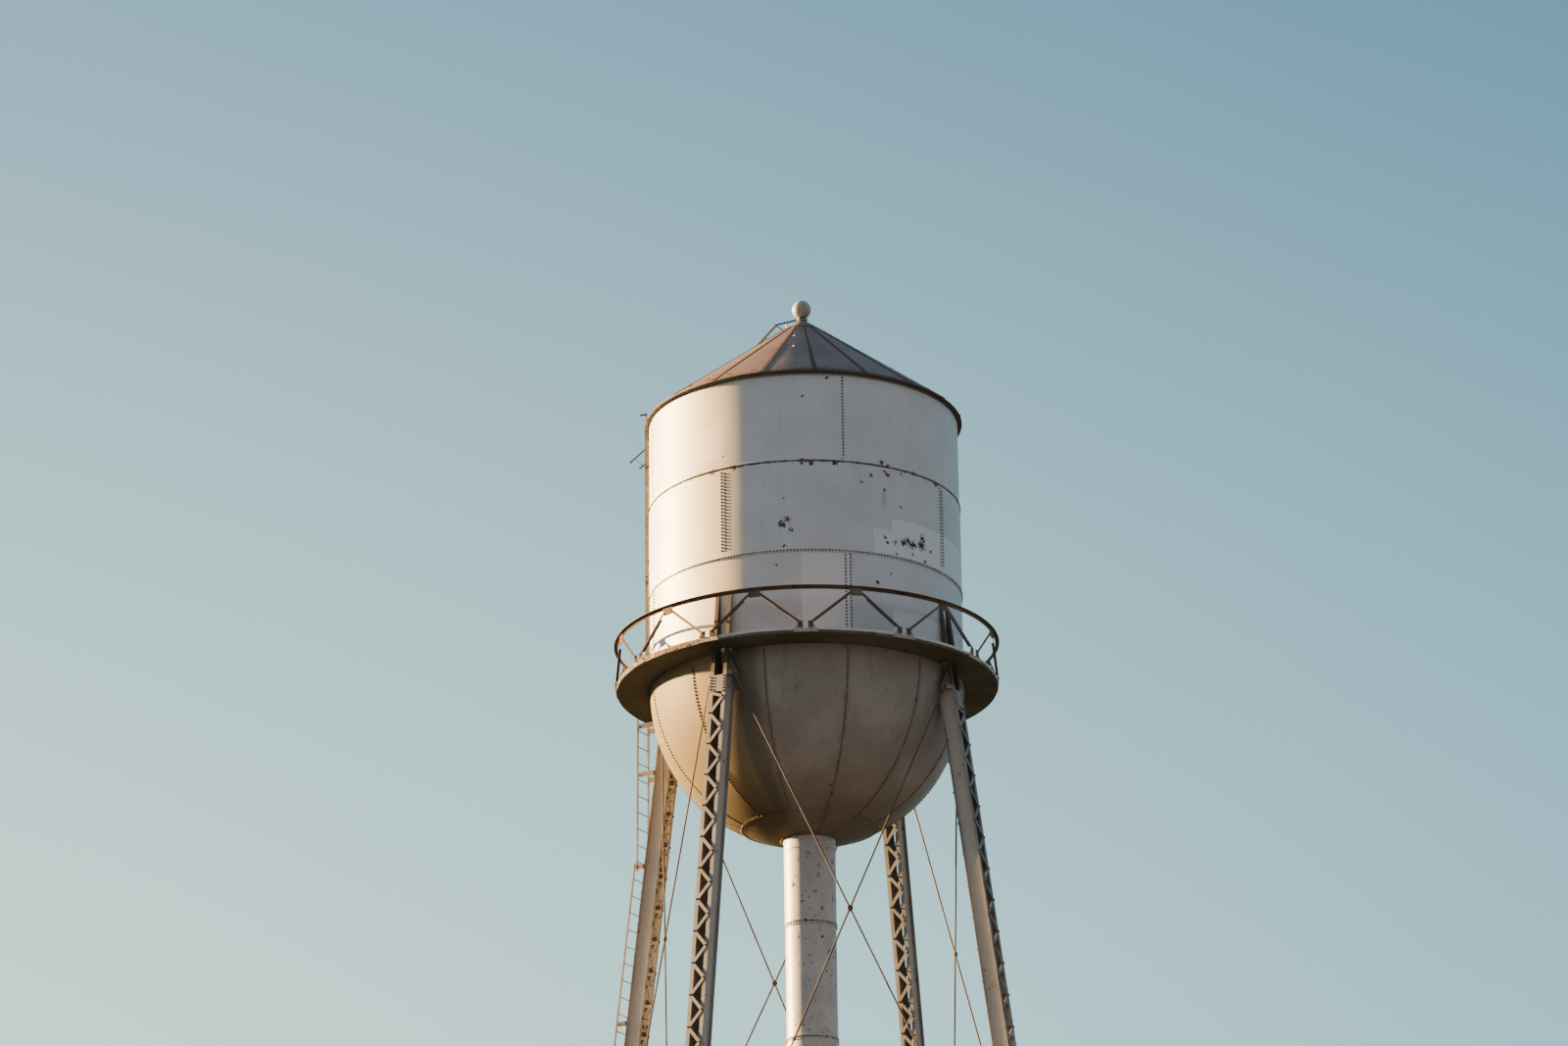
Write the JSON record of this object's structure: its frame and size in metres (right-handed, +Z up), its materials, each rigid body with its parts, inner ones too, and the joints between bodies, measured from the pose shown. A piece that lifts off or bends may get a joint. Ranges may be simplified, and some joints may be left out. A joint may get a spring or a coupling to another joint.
{
  "type": "elevated water tower",
  "caption": "Riveted steel water tower: round tank with a bowl bottom and cone roof on laced, rod-braced legs, with a walkway, a riser and ladders.",
  "frame": {"origin": "on the ground, under the axis of the tank", "axes": "+Z up along the tank axis; -Y is the front, between two legs; X to the right of it"},
  "size_m": [12.1722, 12.1722, 38.508],
  "materials": {
    "tank_paint": "weathered aluminium paint, touched-up patches, rust at the seams",
    "bowl_paint": "weathered aluminium paint with rust runs",
    "roof_paint": "chalky grey paint",
    "rib_paint": "rusting brown",
    "walk_paint": "dark brown, rusting",
    "rail_paint": "dark brown, rusting",
    "leg_paint": "dull grey paint with rust at the rivets",
    "rod_paint": "dull dark grey",
    "ladder_paint": "rusty light brown",
    "riser_paint": "light grey paint with rust flakes",
    "concrete": "rough concrete"
  },
  "bodies": {
    "tower": {"shell_course_bottom": "tank_paint", "shell_course_middle": "tank_paint", "shell_course_top": "tank_paint", "bowl_gores": "bowl_paint", "bowl_dish": "bowl_paint", "roof_cone": "roof_paint", "finial": "roof_paint", "roof_ribs": "rib_paint", "roof_rim": "rib_paint", "eave_bracket": "rib_paint", "balcony_floor": "walk_paint", "handrail": "rail_paint", "leg_front_right": "leg_paint", "lacing_outer_front_right": "leg_paint", "lacing_inner_front_right": "leg_paint", "pier_front_right": "concrete", "leg_back_right": "leg_paint", "lacing_outer_back_right": "leg_paint", "lacing_inner_back_right": "leg_paint", "pier_back_right": "concrete", "leg_back_left": "leg_paint", "lacing_outer_back_left": "leg_paint", "lacing_inner_back_left": "leg_paint", "pier_back_left": "concrete", "leg_front_left": "leg_paint", "lacing_outer_front_left": "leg_paint", "lacing_inner_front_left": "leg_paint", "pier_front_left": "concrete", "rods_top_front": "rod_paint", "rods_middle_front": "rod_paint", "rods_bottom_front": "rod_paint", "strut_upper_front": "leg_paint", "strut_lower_front": "leg_paint", "rods_top_right": "rod_paint", "rods_middle_right": "rod_paint", "rods_bottom_right": "rod_paint", "strut_upper_right": "leg_paint", "strut_lower_right": "leg_paint", "rods_top_back": "rod_paint", "rods_middle_back": "rod_paint", "rods_bottom_back": "rod_paint", "strut_upper_back": "leg_paint", "strut_lower_back": "leg_paint", "rods_top_left": "rod_paint", "rods_middle_left": "rod_paint", "rods_bottom_left": "rod_paint", "strut_upper_left": "leg_paint", "strut_lower_left": "leg_paint", "riser_pipe": "riser_paint", "riser_base": "concrete", "leg_ladder": "ladder_paint", "shell_ladder": "ladder_paint", "side_arm": "rod_paint"},
    "roof_ladder": {"roof_ladder": "rod_paint"}
  },
  "joints": [
    {"name": "roof_ladder_turn", "type": "hinge", "parent": "tower", "child": "roof_ladder", "pos_m": [0, 0, 38.1], "axis": [0, 0, 1], "continuous": true}
  ]
}
